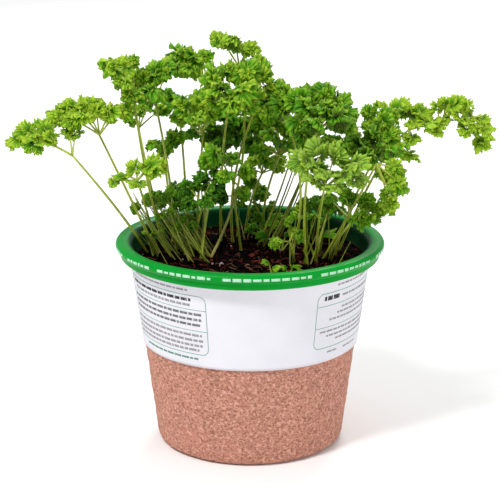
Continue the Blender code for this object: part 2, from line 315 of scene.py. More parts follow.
# the bare fibre's roughness: coarse and fine lumps below the wrap, fading out at the foot
def grain(x, y, z):
    bare = np.clip((pot["bareBelow"] - z) / 3.0, 0, 1) * np.clip(z / 2.0, 0, 1)
    return bare * (lumps(x, y, z, 0.9, 11) * 0.6 + lumps(x, y, z, 2.1, 12) * 0.4) * pot["grainDepth"]


# a turned solid from top rings to bottom rings, with a pole in the middle of each end
def turnedSolid(rings, top, bottom):
    rows, around = rings.shape[:2]
    points = np.vstack([rings.reshape(-1, 3), [[0, 0, top], [0, 0, bottom]]]) * mm
    ring = np.arange(around)
    faces = [gridFaces(rows, around, round=True)[:, ::-1], poleFaces(ring, len(points) - 2),
             poleFaces(ring + (rows - 1) * around, len(points) - 1, turned=True)]
    return points, faces


def makePot():
    floor = [(r, pot["floor"]) for r in pot["flatRings"]]
    base = [(r, 0.0) for r in reversed(pot["flatRings"])]
    lip = smoothOutline([pot["inside"][-1]] + pot["rolledLip"], 4)
    inside, wall = smoothOutline(pot["inside"], 3), smoothOutline(pot["wall"], 4)
    outline = np.vstack([floor, inside, lip[1:], wall, base])
    points, faces = turnedSolid(turned(outline, pot["around"], grain), pot["floor"], 0.0)
    piece = meshPiece("fibre_pot", points, faces, [fibreMaterial()])
    drillDrains(piece)
    settle(piece, "pot")


# four round holes through the floor
def drillDrains(piece):
    for i in range(4):
        angle = math.pi / 4 + i * math.pi / 2
        away = pot["drainCircle"] * mm
        place = (away * math.cos(angle), away * math.sin(angle), pot["floor"] / 2 * mm)
        bpy.ops.mesh.primitive_cylinder_add(vertices=24, radius=pot["drainRadius"] * mm, depth=10 * mm,
                                            location=place)
        cutter = bpy.context.active_object
        hole = piece.modifiers.new("drain", "BOOLEAN")
        hole.operation = "DIFFERENCE"
        hole.object = cutter
        bpy.context.view_layer.objects.active = piece
        bpy.ops.object.modifier_apply(modifier=hole.name)
        bpy.data.objects.remove(cutter, do_unlink=True)
    piece.data.polygons.foreach_set("use_smooth", np.full(len(piece.data.polygons), True))


# ---- wrap: printed paper round the upper half and over the rolled lip

wrap = {
    "face": [(53.5, 88.2), (55.0, 92.4), (56.0, 96.3), (58.0, 98.0), (60.4, 98.4), (62.8, 97.9),
             (63.6, 96.3), (62.9, 94.5), (61.6, 93.8), (61.3, 91.2), (60.2, 90.6), (57.4, 90.3),
             (56.9, 89.2), (51.3, 49.5)],
    "thickness": 0.5,
    "around": 240,
    "white": (0.78, 0.77, 0.82),
    "green": (0.0, 0.32, 0.028),
    "shadedGreen": (0.0, 0.05, 0.014),
    "greenFrom": 90.55,
    "shadedWithin": 57.6,  # radius inside which the lip's green is darkened as painted shade
    "liningWithin": 55.5,
    "liningFrom": 87.95,
    # painted shade at the foot of the inner lining, just above the soil
    "liningShade": (0.03, 0.06, 0.02),
}


# paper surface: white below greenFrom and green above it, with painted shade on the lip's inner face and
# lining and a painted shadow along the lower edge
def paperMaterial():
    n = Nodes("printedPaper")
    x, y, z = n.axes(n.place)[:3]
    radius = n.maths("SQRT", n.maths("ADD", n.maths("MULTIPLY", x, x), n.maths("MULTIPLY", y, y)))
    soft = n.noise(40, 3, 0.6)
    pulp = n.noise(1500, 4, 0.7)
    cloud = n.between(soft, 0.3, 0.7)
    white = n.blend(cloud, wrap["white"], darker(wrap["white"], 0.95))
    white = n.blend(n.between(pulp, 0.4, 0.75, 0.0, 0.12), white, (0.6, 0.6, 0.66))
    # painted shadow along the wrap's lower edge
    white = n.blend(n.between(z, 49.5 * mm, 51.5 * mm, 0.35, 0.0), white, (0.62, 0.55, 0.60))

    # 1 within a radius and 0 outside it, over a short step
    def within(limit, step):
        return n.between(radius, (limit - step) * mm, (limit + step) * mm, 1.0, 0.0)

    green = n.blend(cloud, wrap["green"], darker(wrap["green"], 0.85))
    # painted shade on the lip's inner face
    green = n.blend(within(wrap["shadedWithin"], 0.95), green, wrap["shadedGreen"])
    printed = n.between(z, (wrap["greenFrom"] - 0.12) * mm, (wrap["greenFrom"] + 0.12) * mm)
    lining = n.between(z, (wrap["liningFrom"] - 0.05) * mm, (wrap["liningFrom"] + 0.05) * mm)
    lining = n.maths("MULTIPLY", within(wrap["liningWithin"], 0.2), lining)
    printed = n.maths("MAXIMUM", printed, lining)
    # painted shade at the foot of the lining, deep inside the lip
    liningShade = n.maths("MULTIPLY", lining, n.between(z, 89.8 * mm, 90.4 * mm, 1.0, 0.0))
    colour = n.blend(liningShade, n.blend(printed, white, green), wrap["liningShade"])
    rough = n.blend(printed, (0.62, 0.62, 0.62), (0.36, 0.36, 0.36))
    return n.finish(colour, rough, n.relief(soft, 0.5 * mm, 0.5, n.relief(pulp, 0.04 * mm, 0.5)), 0.08)


# the paper stands off a little here and there, and is smooth on the lip
def slack(x, y, z):
    return lumps(x, y, z / 1.2, 0.12, 21) * 0.10 * np.clip((89 - z) / 12, 0, 1)


# the printed face's outline, up inside the lip, over it and down the wall
wrapFront = smoothOutline(wrap["face"], 5)


def makeWrap():
    along = unit(np.gradient(wrapFront, axis=0))
    back = wrapFront + wrap["thickness"] * np.stack([along[:, 1], -along[:, 0]], axis=1)
    points = turned(np.vstack([wrapFront, back[::-1]]), wrap["around"], slack)
    rows, around = points.shape[:2]
    first = np.arange(around)
    last = first + (rows - 1) * around
    seam = np.stack([last, np.roll(last, -1), np.roll(first, -1), first], axis=-1)
    faces = [gridFaces(rows, around, round=True)[:, ::-1], seam[:, ::-1]]
    piece = meshPiece("paper_wrap", points.reshape(-1, 3) * mm, faces, [paperMaterial()])
    settle(piece, "printed_wrap")


# ---- printing: plain bars in place of lettering, laid out by angle from the front and height in mm

printing = {
    "lift": 0.05,
    "thickness": 0.04,
    "line": 0.32,
    "divider": 0.28,
    "reference": 54.0,  # radius at which lengths along the wrap are measured
    "seed": 61,
    "black": (0.02, 0.02, 0.025),
    "dark": (0.14, 0.14, 0.15),
    "grey": (0.30, 0.29, 0.31),
    "teal": (0.12, 0.36, 0.28),
    "deepTeal": (0.07, 0.24, 0.17),
    "paleInk": (0.42, 0.72, 0.50),
    # each panel: left and right side in degrees, corner radius, top and bottom
    "panels": [(-78.0, -21.0, 3.2, 85.0, 55.9), (33.5, 92.0, 3.2, 84.2, 56.7)],
    "dividers": [(-77.6, -21.3, 78.0), (-77.6, -21.3, 67.6), (34.0, 91.6, 77.9), (34.0, 91.6, 67.1)],
    # each row of bars: from and to in degrees, height, thickness, ink
    "rows": [(-66, -27.0, 53.6, 0.9, "deepTeal"), (43, 51, 54.2, 0.8, "grey"), (56, 70, 54.0, 0.8, "grey"),
             (-74, -28.5, 82.8, 1.4, "black"), (-72, -28.5, 80.2, 1.2, "grey"),
             (-70, -30.0, 87.4, 0.9, "grey"), (-75, -23.6, 75.9, 1.2, "dark"),
             (-75, -23.8, 73.2, 1.2, "dark"), (-75, -24, 70.6, 1.2, "dark"),
             (-75, -24, 65.4, 1.15, "grey"), (-75, -23.6, 62.8, 1.15, "grey"),
             (-75, -24, 60.3, 1.15, "grey"), (-75, -26, 58.0, 1.15, "grey"),
             (37.5, 47.5, 81.6, 2.1, "black"), (49.5, 84, 81.4, 1.0, "grey"),
             (45, 72, 87.2, 0.9, "grey"), (50, 84, 75.6, 0.9, "grey"), (47, 88, 73.2, 0.9, "grey"),
             (42, 88, 70.6, 0.9, "grey"), (36.5, 88, 65.0, 0.9, "grey"), (41, 88, 62.6, 0.9, "grey"),
             (48, 80, 60.2, 0.9, "grey")],
    "rowWord": (4.2, 0.6),  # the longest bar in a row and the gap between bars
    "lipWord": (3.4, 0.7),
    # words round the lip: from and to in degrees
    "lipWords": [(-62, -45), (-41, -16), (-11, 26), (30, 60), (66, 92), (98, 130), (136, 168), (-100, -68),
                 (-136, -106), (-170, -142)],
    "lipHeight": 96.2,
    "lipThick": (1.0, 1.7),
}


# radius of the wrap's outer face at a height
def wrapRadius(z):
    outer = wrapFront[np.argmax(wrapFront[:, 1]):]
    return np.interp(z, outer[::-1, 1], outer[::-1, 0])


# splits a run of degrees into bars of word length with small gaps between them, lengths in mm
def words(start, stop, draw, longest, gap):
    scale = math.degrees(1 / printing["reference"])
    bars, at = [], start
    while at < stop - 0.8:
        end = min(stop, at + draw.uniform(0.28, 1.0) * longest * scale)
        bars.append((at, end))
        at = end + gap * scale
    return bars


# one bar or line on the wrap: ribbon(t, s) = path(t) + s across the path, path in degrees and height,
# laid on the paper at radius(z) + lift
def ribbon(degrees, height, width):
    s = np.linspace(-0.5, 0.5, 5) * width
    run = np.radians(degrees)
    along = unit(np.stack([np.gradient(run) * printing["reference"], np.gradient(height)], axis=-1))
    a = run[None] - s[:, None] * along[:, 1] / printing["reference"]
    z = height[None] + s[:, None] * along[:, 0]
    r = wrapRadius(z) + printing["lift"]
    x, y = r * np.sin(a), -r * np.cos(a)
    away = slack(x, y, z)
    return np.stack([x + away * np.sin(a), y - away * np.cos(a), z], axis=-1)


# a panel's outline: straight sides with quarter circles at the corners, clockwise from the top
def panelPath(left, right, corner, top, bottom):
    bend = math.degrees(corner / printing["reference"])
    t = np.linspace(0, math.pi / 2, 6)
    out, up = bend * np.sin(t), corner * np.cos(t)
    flat = np.linspace(left + bend, right - bend, 40)
    tall = np.linspace(top - corner, bottom + corner, 10)[1:-1]
    level = np.ones_like
    path = [(flat, level(flat) * top), (right - bend + out, top - corner + up),
            (level(tall) * right, tall), (right - bend + out[::-1], bottom + corner - up[::-1]),
            (flat[::-1], level(flat) * bottom), (left + bend - out, bottom + corner - up),
            (level(tall) * left, tall[::-1]), (left + bend - out[::-1], top - corner + up[::-1]),
            (flat[:1], level(flat[:1]) * top)]
    degrees, height = (np.concatenate(run) for run in zip(*path))
    fresh = np.concatenate([[True], np.hypot(np.diff(degrees), np.diff(height)) > 1e-6])
    return degrees[fresh], height[fresh]


# ink surface: the tone attribute, a little worn in patches
def inkMaterial():
    n = Nodes("printInk")
    patchy = n.noise(900, 3, 0.7)
    colour = n.blend(n.between(patchy, 0.45, 0.75, 0.0, 0.4), n.attribute("tone"), (0.6, 0.6, 0.62))
    return n.finish(colour, n.between(patchy, 0.3, 0.7, 0.5, 0.7), n.relief(patchy, 0.02 * mm, 0.5), 0.2)


def makePrinting():
    draw = np.random.default_rng(printing["seed"])
    ribbons, inks = [], []

    def lay(degrees, height, width, ink):
        ribbons.append(ribbon(degrees, height, width))
        inks.append(printing[ink])

    def bar(start, stop, height, width, ink, columns=4):
        lay(np.linspace(start, stop, columns), np.full(columns, float(height)), width, ink)

    for panel in printing["panels"]:
        lay(*panelPath(*panel), printing["line"], "teal")
    for start, stop, height in printing["dividers"]:
        bar(start, stop, height, printing["divider"], "teal", 40)
    for start, stop, height, width, ink in printing["rows"]:
        for a, b in words(start, stop, draw, *printing["rowWord"]):
            bar(a, b, height, width, ink)
    for start, stop in printing["lipWords"]:
        for a, b in words(start, stop, draw, *printing["lipWord"]):
            bar(a, b, printing["lipHeight"], draw.uniform(*printing["lipThick"]), "paleInk")
    points, faces, tones, first = [], [], [], 0
    for grid, ink in zip(ribbons, inks):
        rows, columns = grid.shape[:2]
        points.append(grid.reshape(-1, 3))
        faces.append(gridFaces(rows, columns, first=first))
        tones.append(np.tile((*ink, 1.0), (rows * columns, 1)))
        first += rows * columns
    piece = meshPiece("wrap_print", np.vstack(points) * mm, [np.vstack(faces)], [inkMaterial()],
                      tone=np.vstack(tones))
    thicken(piece, printing["thickness"])
    settle(piece)


# ---- soil: dark potting mix with crumbs and fibres

soil = {
    "radius": 53.6,
    "middle": 91.0,
    "edgeDrop": 1.4,
    "side": [(53.1, 88.2), (52.6, 87.4), (41.1, 7.0), (38.8, 4.4)],
    "bottom": 4.4,
    "rings": 90,
    "around": 200,
    "crumbs": 1500,
    "crumbSize": (0.32, 1.42),
    "fibres": 420,
    "fibreLength": (2.0, 8.0),
    "fibreRadius": (0.08, 0.22),
    "dark": (0.0004, 0.0002, 0.0002),
    "brown": (0.004, 0.0012, 0.0008),
    "red": (0.16, 0.030, 0.022),
    "pale": (0.60, 0.38, 0.40),
    "tan": (0.26, 0.15, 0.08),
}


# height(x, y) = middle - drop (r / radius)^2, with lumps that fade towards the wall
def soilHeight(x, y):
    share = np.hypot(x, y) / soil["radius"]
    rough = 0.55 * lumps(x, y, 0 * x, 0.35, 31) + 0.35 * lumps(x, y, 0 * x, 0.9, 32)
    fine = 0.18 * lumps(x, y, 0 * x, 2.2, 33)
    fade = np.clip((1.02 - share) * 6, 0.15, 1)
    return soil["middle"] - soil["edgeDrop"] * share**2 + (rough + fine) * fade


def groundAt(x, y):
    return float(soilHeight(np.array([float(x)]), np.array([float(y)]))[0])


# soil surface: dark clods with brick-red grit; loose bits take their colour from the tone attribute
def soilMaterial(name, loose=False):
    n = Nodes(name)
    clod = n.noise(220, 5, 0.7)
    grit = n.noise(900, 4, 0.75)
    colour = n.blend(n.between(clod, 0.38, 0.66), soil["dark"], soil["brown"])
    colour = n.blend(n.between(grit, 0.60, 0.72, 0.0, 0.6), colour, soil["red"])
    if loose:
        colour = n.blend(0.85, colour, n.attribute("tone"))
    bumpy = n.relief(grit, 0.4 * mm, 1.0, n.relief(clod, 1.0 * mm))
    return n.finish(colour, n.between(grit, 0.3, 0.7, 0.75, 1.0), bumpy, 0.02)


def makeSoil():
    share = np.linspace(0, 1, soil["rings"])[1:] ** 0.8
    a = np.linspace(0, 2 * math.pi, soil["around"], endpoint=False)
    x, y = share[:, None] * soil["radius"] * np.cos(a), share[:, None] * soil["radius"] * np.sin(a)
    surface = np.stack([x, y, soilHeight(x, y)], axis=-1)
    body = turned(np.array(soil["side"]), soil["around"])
    points, faces = turnedSolid(np.vstack([surface, body]), groundAt(0, 0), soil["bottom"])
    piece = meshPiece("soil_bed", points, faces, [soilMaterial("pottingMix")])
    settle(piece, "soil")
    loose = soilMaterial("looseMix", loose=True)
    makeCrumbs(loose)
    makeFibres(loose)


# crumbs: one icosahedron, its points moved in and out, turned and scaled for every place at once
def makeCrumbs(material):
    draw = np.random.default_rng(41)
    g = (1 + math.sqrt(5)) / 2
    ball = np.array([(-1, g, 0), (1, g, 0), (-1, -g, 0), (1, -g, 0), (0, -1, g), (0, 1, g), (0, -1, -g),
                     (0, 1, -g), (g, 0, -1), (g, 0, 1), (-g, 0, -1), (-g, 0, 1)]) / math.hypot(1, g)
    sides = np.array([(0, 11, 5), (0, 5, 1), (0, 1, 7), (0, 7, 10), (0, 10, 11), (1, 5, 9), (5, 11, 4),
                      (11, 10, 2), (10, 7, 6), (7, 1, 8), (3, 9, 4), (3, 4, 2), (3, 2, 6), (3, 6, 8),
                      (3, 8, 9), (4, 9, 5), (2, 4, 11), (6, 2, 10), (8, 6, 7), (9, 8, 1)])
    count = soil["crumbs"]
    least, most = soil["crumbSize"]
    size = least + (most - least) * draw.random(count) ** 3.0
    away = np.sqrt(draw.random(count)) * (soil["radius"] - 1.6)
    angle = draw.uniform(0, 2 * math.pi, count)
    x, y = away * np.cos(angle), away * np.sin(angle)
    turnMatrix = np.linalg.qr(draw.normal(size=(count, 3, 3)))[0]
    turnMatrix[:, :, 0] *= np.sign(np.linalg.det(turnMatrix))[:, None]
    squeeze = draw.uniform(0.55, 1.25, (count, 1, 3)) * size[:, None, None]
    lump = ball[None] * draw.uniform(0.75, 1.2, (count, 12, 1)) * squeeze
    lump = np.einsum("nij,nkj->nki", turnMatrix, lump)
    place = np.stack([x, y, soilHeight(x, y) + size * 0.25], axis=-1)
    points = (lump + place[:, None]).reshape(-1, 3) * mm
    faces = (sides[None] + 12 * np.arange(count)[:, None, None]).reshape(-1, 3)
    tints = np.array([soil["dark"], soil["brown"], soil["red"], soil["pale"]])
    pick = draw.choice(4, count, p=[0.42, 0.42, 0.13, 0.03])
    tone = np.ones((count, 12, 4))
    tone[:, :, :3] = (tints[pick] * draw.uniform(0.6, 1.3, (count, 1)))[:, None]
    piece = meshPiece("soil_crumbs", points, [faces], [material], tone=tone.reshape(-1, 4), smooth=False)
    settle(piece)


# fibres: point(t) = middle + t length heading(t) + bow (1 - 4 t^2) up, t from -1/2 to 1/2, with a
# three-sided section
def makeFibres(material):
    draw = np.random.default_rng(43)
    count, steps = soil["fibres"], 7
    t = np.linspace(0, 1, steps) - 0.5
    length = draw.uniform(*soil["fibreLength"], count)
    heading = draw.uniform(0, 2 * math.pi, count)
    curve = draw.uniform(-1.6, 1.6, count)
    away = np.sqrt(draw.random(count)) * (soil["radius"] - 5.0)
    angle = draw.uniform(0, 2 * math.pi, count)
    h = heading[:, None] + curve[:, None] * t
    x = (away * np.cos(angle))[:, None] + length[:, None] * t * np.cos(h)
    y = (away * np.sin(angle))[:, None] + length[:, None] * t * np.sin(h)
    inside = np.minimum(1, (soil["radius"] - 1.0) / np.hypot(x, y))
    x, y = x * inside, y * inside
    z = soilHeight(x, y) + 0.25 + draw.uniform(0, 0.9, count)[:, None] * (1 - 4 * t**2)
    spine = np.stack([x, y, z], axis=-1)
    k = np.arange(3) * 2 * math.pi / 3
    thick = draw.uniform(*soil["fibreRadius"], count)[:, None, None] * (1.15 - 1.6 * t**2)[None, :, None]
    across = np.stack([-np.sin(h), np.cos(h), 0 * h], axis=-1)
    up = np.array([0.0, 0.0, 1.0])
    ring = (spine[:, :, None] + thick[..., None] * (np.cos(k)[:, None] * across[:, :, None]
            + np.sin(k)[:, None] * up))
    points = ring.reshape(-1, 3) * mm
    one = gridFaces(steps, 3, round=True)
    ends = np.array([(2, 1, 0), (steps * 3 - 3, steps * 3 - 2, steps * 3 - 1)])
    shift = (steps * 3) * np.arange(count)[:, None, None]
    faces = [(one[None] + shift).reshape(-1, 4), (ends[None] + shift).reshape(-1, 3)]
    tints = np.array([soil["brown"], soil["red"], soil["tan"]])
    pick = draw.choice(3, count, p=[0.35, 0.45, 0.20])
    tone = np.ones((count, steps * 3, 4))
    tone[:, :, :3] = (tints[pick] * draw.uniform(0.7, 1.4, (count, 1)))[:, None]
    piece = meshPiece("soil_fibres", points, faces, [material], tone=tone.reshape(-1, 4))
    settle(piece)


# ---- plant: the planting plan in mm; a leaf has its root on the soil, a knee, a fork and often rachis points
# beyond it; its tufts are x, y, z, breadth and the point that bears them, 0 for the fork; tone is 0 dark to
# 1 yellow, the leaf's own colour with painted shade on the leaves deep in the clump; the stalks stand as in
# the solid model and the tufts lie round its blades

leaves = {
    "far_left": {"root": (-48, 3), "knee": (-59, -20, 114), "fork": (-80, -30, 145), "form": "pleated",
        "tone": 0.62, "rachis": [(-87, -30, 149)], "tufts": [(-104, -30, 153, 10, 1), (-98, -30, 156, 13, 1),
        (-92, -28, 156, 12, 1), (-95, -34, 152, 11, 1), (-89, -30, 153, 10, 1), (-82, -22, 155, 9, 0),
        (-79, -24, 153, 7, 0)]},
    "left": {"root": (-43, -2), "knee": (-58, -18, 129), "fork": (-69, -14, 151), "tone": 0.68, "tufts": [
        (-86, -18, 161, 13), (-81, -14, 164, 15), (-76, -8, 163, 13), (-70, -16, 163, 13),
        (-75, -24, 162, 11), (-64, -18, 162, 11), (-59, -12, 162, 10), (-80, -22, 160, 10)]},
    "upper_left": {"root": (-39, 1), "knee": (-48, -12, 130), "fork": (-53, -8, 166), "tone": 0.6,
        "tufts": [(-61, -12, 182, 16), (-57, -6, 181, 15), (-54, 0, 183, 8), (-57, -18, 177, 10),
        (-54, -14, 171, 12)]},
    "left_behind": {"root": (-40, 8), "knee": (-47, 12, 121), "fork": (-54, 34, 144), "tone": 0.5,
        "tufts": [(-43, 36, 153, 11), (-53, 34, 153, 9), (-48, 28, 158, 10), (-57, 36, 153, 9),
        (-57, 30, 149, 8)]},
    "upper_left_inner": {"root": (-35, 8), "knee": (-38, 2, 126), "fork": (-44, 4, 162), "tone": 0.42,
        "tufts": [(-50, 4, 174, 14), (-44, 8, 176, 14), (-46, -5, 170, 14), (-45, 10, 164, 11),
        (-52, 0, 167, 10), (-39, 4, 177, 10)]},
    "pointed_left": {"root": (-45, 13), "knee": (-48, -8, 111), "fork": (-51, -28, 133), "form": "pleated",
        "tone": 0.66, "tufts": [(-57, -32, 136, 9), (-52, -26, 138, 10), (-46, -28, 139, 13),
        (-43, -22, 138, 10), (-50, -38, 135, 9), (-61, -33, 134, 6)]},
    "dark_mid_left": {"root": (-34, 13), "knee": (-38, 20, 111), "fork": (-42, 38, 129), "tone": 0.42,
        "tufts": [(-45, 34, 136, 11), (-38, 44, 137, 13), (-42, 40, 132, 10)]},
    "dark_back_left": {"root": (-30, 17), "knee": (-32, 34, 118), "fork": (-35, 62, 142), "tone": 0.26,
        "tufts": [(-39, 60, 155, 10), (-35, 60, 152, 10), (-30, 52, 150, 10), (-25, 50, 151, 10)]},
    "crown_left": {"root": (-23, 8), "knee": (-21, 22, 136), "fork": (-21, 38, 165), "tone": 0.5, "tufts": [
        (-36, 34, 175, 14), (-32, 44, 179, 15), (-27, 36, 178, 17), (-23, 44, 177, 11), (-29, 30, 174, 12)]},
    "inner_left": {"root": (-26, 13), "knee": (-24, 8, 119), "fork": (-22, 4, 147), "tone": 0.55, "tufts": [
        (-30, 0, 162, 13), (-24, 8, 162, 14), (-25, -6, 158, 13), (-19, 2, 160, 14), (-32, 4, 155, 10)]},
    "low_left_dark": {"root": (-29, 7), "knee": (-25, -2, 104), "fork": (-22, -6, 116), "tone": 0.14,
        "tufts": [(-29, -2, 123, 11), (-23, -6, 126, 11), (-17, -12, 127, 11), (-28, -14, 120, 10),
        (-20, -17, 122, 10), (-35, 6, 118, 10), (-14, -8, 121, 9), (-17, -10, 133, 8)]},
    "low_left_shoot": {"root": (-38, 18), "knee": (-37, 24, 100), "fork": (-38, 28, 106), "tone": 0.35,
        "tufts": [(-46, 31, 110, 9), (-39, 38, 113, 9), (-34, 37, 109, 8), (-42, 26, 112, 8)]},
    "crown": {"root": (-19, -8), "knee": (-8, -1, 115), "fork": (-5, 10, 178), "tone": 0.64, "tan": 0.55,
        "tufts": [(-13, 16, 190, 12), (-7, 7, 191, 12), (-1, 14, 187, 11), (3, 9, 182, 10),
        (-15, 18, 191, 8)]},
    "crown_front": {"root": (-14, 18), "knee": (-13, 0, 136), "fork": (-10, -14, 162), "tone": 0.52,
        "tufts": [(-16, -14, 177, 14), (-9, -4, 180, 14), (-2, -10, 179, 15), (-13, -22, 174, 15),
        (-4, -26, 175, 15), (-16, -16, 168, 13), (-9, -28, 169, 14), (-2, -22, 168, 13)]},
    "crown_right": {"root": (-8, 13), "knee": (-9, 6, 116), "fork": (4, 4, 162), "tone": 0.6, "tufts": [
        (5, 4, 175, 12), (9, 2, 171, 12), (3, -6, 171, 12), (13, 6, 166, 11), (6, -2, 164, 12)]},
    "centre_dark": {"root": (-23, -11), "knee": (-21, -4, 108), "fork": (-14, 28, 132), "tone": 0.24,
        "tufts": [(-18, 30, 152, 13), (-11, 34, 152, 14), (-16, 18, 147, 15), (-9, 22, 148, 14),
        (-13, 12, 142, 13), (-6, 16, 144, 12), (-19, 20, 142, 11), (-2, 26, 147, 13), (-27, 30, 143, 9)]},
    "centre_low": {"root": (-4, 4), "knee": (-7, -4, 110), "fork": (-8, -12, 129), "tone": 0.42, "tufts": [
        (-19, -14, 140, 10), (-15, -18, 143, 12), (-9, -20, 142, 11), (-11, -22, 135, 10), (-3, -14, 134, 9),
        (-3, -14, 124, 8)]},
    "yellow": {"root": (-2, 36), "knee": (0, 32, 108), "fork": (6, 36, 121), "tone": 0.75, "tufts": [
        (3, 43, 127, 10), (12, 31, 129, 11), (7, 34, 132, 10), (14, 36, 124, 8), (0, 40, 122, 9)]},
    "back_low": {"root": (5, 43), "knee": (4, 41, 98), "fork": (2, 38, 105), "tone": 0.35, "tufts": [
        (-4, 40, 110, 10), (6, 44, 110, 10), (1, 42, 115, 9)]},
    "right_inner": {"root": (9, 38), "knee": (8, 14, 114), "fork": (14, 10, 136), "tone": 0.4, "tufts": [
        (2, 14, 143, 13), (6, 20, 150, 15), (13, 20, 152, 14), (19, 14, 149, 14), (10, 2, 148, 14),
        (17, -2, 145, 12), (24, 8, 144, 12), (5, 4, 140, 12), (8, 0, 136, 10), (3, 22, 158, 13),
        (32, 2, 147, 12)]},
    "right_upper": {"root": (19, -6), "knee": (23, -14, 118), "fork": (18, -8, 155), "tone": 0.44,
        "tufts": [(13, -4, 167, 13), (18, -12, 169, 14), (9, -6, 162, 13), (15, -15, 163, 13),
        (21, -18, 158, 12)]},
    "right_broad": {"root": (27, -18), "knee": (25, -22, 122), "fork": (30, -22, 154), "tone": 0.4,
        "tufts": [(23, -24, 169, 15), (28, -18, 170, 15), (34, -20, 169, 14), (40, -18, 166, 13),
        (42, -26, 164, 13), (26, -34, 168, 14), (33, -36, 168, 15), (38, -38, 164, 14), (29, -42, 163, 13),
        (22, -36, 162, 12), (42, -32, 160, 11), (24, -35, 157, 12)]},
    "pale": {"root": (31, -12), "knee": (32, -34, 120), "fork": (33, -44, 133), "form": "pleated",
        "tone": 0.7, "pale": 1.0, "tufts": [(25, -50, 147, 13), (31, -46, 148, 13), (37, -48, 148, 14),
        (44, -50, 146, 13), (34, -54, 143, 13), (41, -56, 142, 12), (29, -54, 139, 11), (36, -57, 138, 11),
        (31, -50, 143, 12), (46, -46, 138, 11)]},
    "right_dark": {"root": (40, 0), "knee": (48, -6, 116), "fork": (57, 2, 133), "tone": 0.46, "tufts": [
        (40, -2, 146, 11), (56, 14, 156, 9), (58, 12, 151, 12), (62, 6, 153, 12), (48, 4, 149, 13),
        (51, -8, 146, 15), (58, -6, 147, 15), (65, 4, 146, 13), (55, -16, 142, 14), (63, -10, 142, 13),
        (47, -14, 144, 11), (69, 0, 142, 10)]},
    "right_low": {"root": (38, -7), "knee": (41, -26, 105), "fork": (46, -30, 114), "tone": 0.42, "tufts": [
        (46, -22, 124, 10), (53, -26, 123, 11), (58, -30, 121, 10), (49, -35, 119, 12), (52, -37, 117, 11),
        (60, -28, 120, 8), (43, -20, 127, 9), (37, -4, 118, 10), (42, -8, 115, 9)]},
    "right_droop": {"root": (34, -6), "knee": (46, -26, 118), "fork": (57, -30, 141), "tone": 0.6,
        "tufts": [(64, -30, 139, 12), (66, -34, 134, 11), (63, -38, 129, 11), (63, -40, 125, 9),
        (61, -26, 135, 10)]},
    "far_right": {"root": (42, 7), "knee": (56, 12, 118), "fork": (69, 30, 137), "form": "pleated",
        "tone": 0.72, "rachis": [(77, 34, 143), (87, 38, 145), (92, 40, 147)], "tufts": [(66, 26, 155, 11, 0),
        (72, 34, 153, 13, 0), (68, 22, 151, 10, 0), (77, 30, 152, 13, 1), (83, 42, 150, 13, 1),
        (85, 30, 148, 12, 2), (89, 36, 147, 11, 2), (78, 24, 149, 9, 1), (92, 44, 152, 8, 3),
        (78, 24, 142, 10, 1), (77, 23, 134, 11, 1), (91, 40, 144, 9, 3), (94, 38, 148, 8, 3)]},
    "sprout": {"root": (20, -12), "knee": (19, -27, 100), "fork": (18, -28, 104), "tone": 0.55, "tufts": [
        (12, -34, 106, 7), (21, -21, 107, 8)]},
    "outer_right": {"fork": (95, 42, 148), "form": "pleated", "tone": 0.74,
        "rachis": [(102, 44, 150), (109, 44, 147)], "tufts": [(98, 40, 154, 10, 0), (103, 46, 153, 12, 1),
        (101, 38, 149, 12, 1), (108, 44, 149, 13, 2), (114, 46, 146, 11, 2), (108, 40, 146, 10, 2),
        (114, 40, 142, 11, 2), (113, 42, 136, 10, 2), (95, 42, 154, 7, 0), (105, 36, 143, 9, 2)]},
}

leafStyle = {
    "thickness": 0.20,
    "faceUp": (0.0, -0.45, 0.80),
    "faceOut": 0.3,
    "flatten": 0.45,  # how much of its rise a leaflet keeps once it has left its stalklet
    "dark": (0.007, 0.064, 0.0008),
    "mid": (0.125, 0.430, 0.006),
    "bright": (0.620, 0.820, 0.055),
    "tip": (0.16, 0.17, 0.01),
    "under": (0.34, 0.50, 0.09),
    "greyUnder": (0.44, 0.66, 0.12),
    "stem": (0.58, 0.70, 0.06),
    "stemPale": (0.72, 0.78, 0.16),
    "stemOlive": (0.15, 0.22, 0.008),
    "stemShade": (0.045, 0.10, 0.003),
    "rust": (0.33, 0.10, 0.02),
    "tan": (0.36, 0.27, 0.12),
}

# the two ways a leaflet grows; its fans stand in rings round its middle, each ring with a count, how far out
# the fans' feet are and their reach, both over the breadth, their pitch and half spread in degrees and their
# painted shade, darker on the outer drooping ring and lighter on the upright inner rings
leafForms = {
    "curly": {"rings": [(5, 0.08, 0.42, -16, 62, -0.10), (4, 0.03, 0.38, 18, 66, 0.02),
                        (3, 0.0, 0.27, 48, 70, 0.07)],
              "rows": 6, "columns": 35, "pleats": 4.0, "pleatDepth": 0.065, "toothDepth": 0.08,
              "ruffle": 0.17, "waves": 2.3, "curl": 0.11, "cup": 0.34, "droop": 0.52, "stretch": 1.1},
    "pleated": {"rings": [(6, 0.10, 0.42, -10, 48, -0.05), (5, 0.03, 0.37, 20, 52, 0.04)],
                "rows": 6, "columns": 31, "pleats": 3.2, "pleatDepth": 0.075, "toothDepth": 0.11,
                "ruffle": 0.12, "waves": 1.2, "curl": 0.06, "cup": 0.26, "droop": 0.40, "stretch": 1.3},
}

# how much the fans of a leaflet differ: factors as low and high, lengths over the breadth, angles in radians
fanScatter = {
    "face": 0.18,
    "heading": 0.3,
    "foot": 0.03,
    "pitch": 0.28,
    "roll": 0.45,
    "reach": (0.82, 1.18),
    "spread": (0.9, 1.15),
    "tone": 0.13,
    "vigour": (0.8, 1.25),
}

